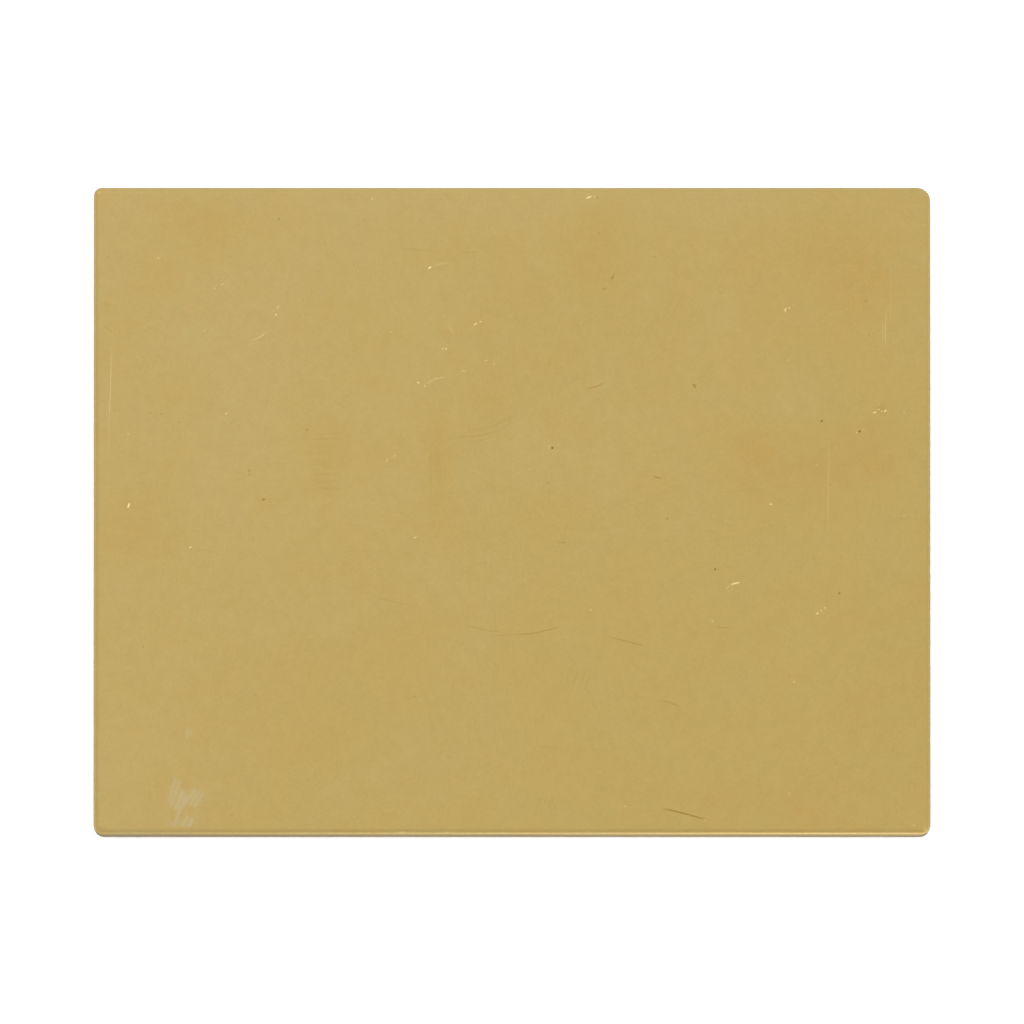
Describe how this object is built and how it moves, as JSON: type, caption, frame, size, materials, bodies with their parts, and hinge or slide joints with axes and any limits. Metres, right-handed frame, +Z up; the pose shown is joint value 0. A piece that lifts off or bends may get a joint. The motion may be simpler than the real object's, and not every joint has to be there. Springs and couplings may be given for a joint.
{
  "type": "paperweight",
  "caption": "Flat rectangular solid brass paperweight with rounded edges and corners, standing on a felt pad glued into a shallow recess in its underside.",
  "frame": {"origin": "centre of the felt pad's underside, on the surface that the paperweight stands on", "axes": "+X along the long side, towards the right; -Y towards the front; +Z up, out of the polished face"},
  "size_m": [0.084, 0.065, 0.0087],
  "materials": {
    "brass": "satin",
    "adhesive": "satin",
    "felt": "matte"
  },
  "bodies": {
    "root": {"brass_slab": "brass", "adhesive_film": "adhesive", "felt_pad": "felt"}
  },
  "joints": []
}
